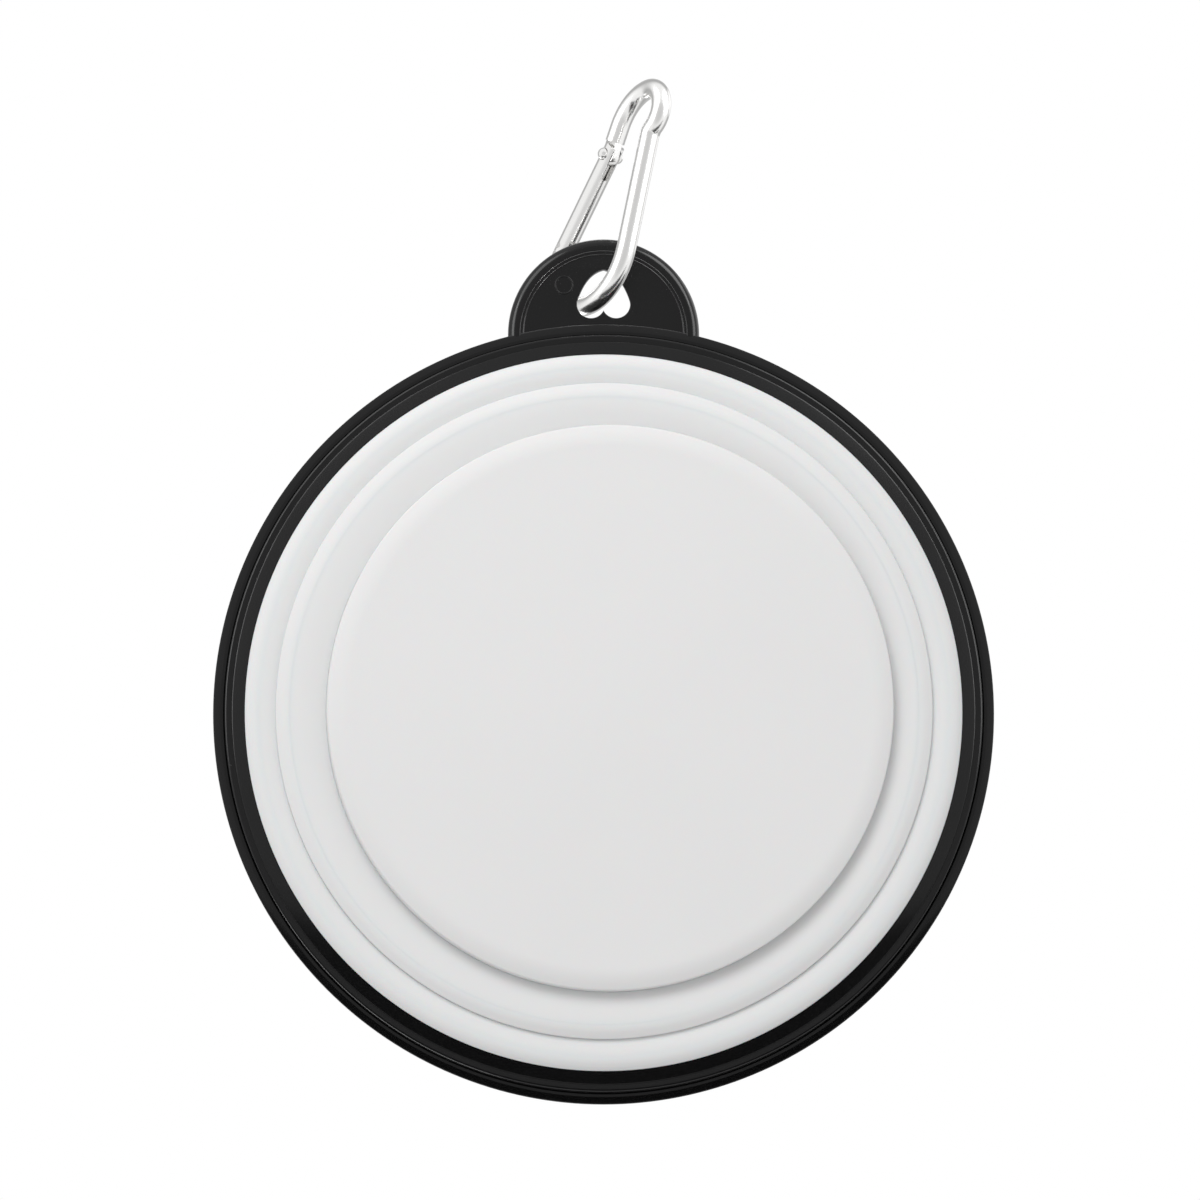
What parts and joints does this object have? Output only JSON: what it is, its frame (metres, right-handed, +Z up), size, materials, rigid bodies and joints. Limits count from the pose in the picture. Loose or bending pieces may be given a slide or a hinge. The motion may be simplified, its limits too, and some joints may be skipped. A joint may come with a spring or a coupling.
{
  "type": "collapsible travel bowl",
  "caption": "Folding travel bowl of white silicone in a black rim, folded flat, with a plated snap clip through the heart-shaped hole in the rim's tab.",
  "frame": {"origin": "centre of the foot's underside, on the floor", "axes": "+Z up out of the bowl's mouth, +Y towards the tab and the clip, +X to the right seen with the tab at the back"},
  "size_m": [0.13, 0.1715, 0.0239],
  "materials": {
    "silicone": "smooth matte white silicone",
    "rim_plastic": "semi-gloss moulded black",
    "clip_metal": "bright nickel plate",
    "spring_steel": "bare drawn wire"
  },
  "bodies": {
    "base": {"bowl_base": "silicone", "lower_fold": "silicone"},
    "step": {"step_ring": "silicone", "upper_fold": "silicone"},
    "rim": {"bowl_collar": "silicone", "rim_frame": "rim_plastic", "clamp_ring": "rim_plastic"},
    "clip": {"clip_body": "clip_metal"},
    "gate": {"clip_gate": "clip_metal", "hinge_rivet": "clip_metal", "latch_pin": "clip_metal", "gate_spring": "spring_steel"},
    "plunger": {"plunger": "clip_metal"}
  },
  "joints": [
    {"name": "lower_unfold", "type": "slide", "parent": "base", "child": "step", "axis": [0, 0, 1], "range_m": [0, 0.02], "deforming": ["lower_fold"]},
    {"name": "upper_unfold", "type": "slide", "parent": "step", "child": "rim", "axis": [0, 0, 1], "range_m": [0, 0.02], "deforming": ["upper_fold"]},
    {"name": "clip_swivel", "type": "hinge", "parent": "rim", "child": "clip", "pos_m": [0.0006, 0.0691, 0.0106], "axis": [0, 0, 1], "range_deg": [-25, 60]},
    {"name": "gate_open", "type": "hinge", "parent": "clip", "child": "gate", "pos_m": [-0.00115, 0.0943, 0.0161], "axis": [0.7983, 0.1964, -0.5693], "range_deg": [0, 22], "stiffness_Nm_per_rad": 0.02, "springref_deg": -11.46},
    {"name": "plunger_slide", "type": "slide", "parent": "gate", "child": "plunger", "axis": [0.4289, -0.8491, 0.3084], "range_m": [0, 0.0003], "deforming": ["gate_spring"]}
  ],
  "couplings": [
    {"joint": "plunger_slide", "follows": "gate_open", "m_per_rad": 0.00068}
  ]
}
